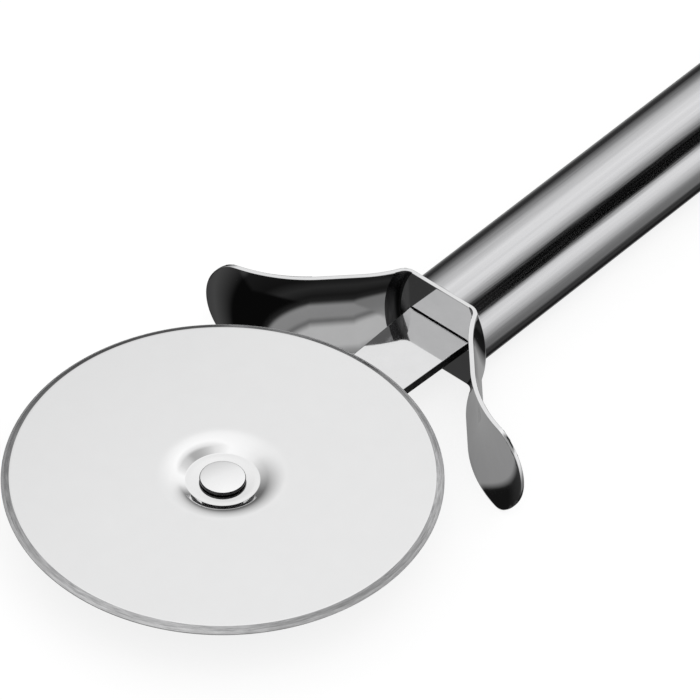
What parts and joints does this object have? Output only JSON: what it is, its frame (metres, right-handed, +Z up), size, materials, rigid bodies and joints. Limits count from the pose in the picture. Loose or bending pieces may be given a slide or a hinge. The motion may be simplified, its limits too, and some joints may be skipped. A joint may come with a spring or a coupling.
{
  "type": "pizza cutter wheel",
  "caption": "Pizza cutter: a round bevelled blade spins on a rivet at the end of a flat arm, with a bent winged finger guard and a tube handle with a hanging eye.",
  "frame": {"origin": "under the middle of the whole length, on the surface that the guard and the tube lie on", "axes": "+X from the blade along the handle to the hanging eye, +Z up along the blade's axle, +Y across"},
  "size_m": [0.2134, 0.074, 0.018],
  "materials": {
    "polished_blade": "mirror polished stainless steel with a ground edge",
    "polished_rivet": "polished stainless steel",
    "washer_plastic": "natural acetal, smooth",
    "polished_arm": "mirror polished stainless steel",
    "polished_guard": "mirror polished stainless steel",
    "brushed_tube": "stainless steel brushed along its length",
    "turned_plug": "turned steel"
  },
  "bodies": {
    "handle": {"wheel_arm": "polished_arm", "axle_rivet": "polished_rivet", "rivet_burr": "polished_rivet", "thrust_washer": "washer_plastic", "finger_guard": "polished_guard", "handle_tube": "brushed_tube", "front_plug": "turned_plug", "tang_pin": "turned_plug", "end_cap": "brushed_tube", "hang_eye": "polished_arm", "eye_pin": "turned_plug"},
    "wheel": {"cutting_wheel": "polished_blade"}
  },
  "joints": [
    {"name": "wheel_spin", "type": "hinge", "parent": "handle", "child": "wheel", "pos_m": [-0.06972, 0, 0.01354], "axis": [0, 0, 1], "continuous": true}
  ]
}
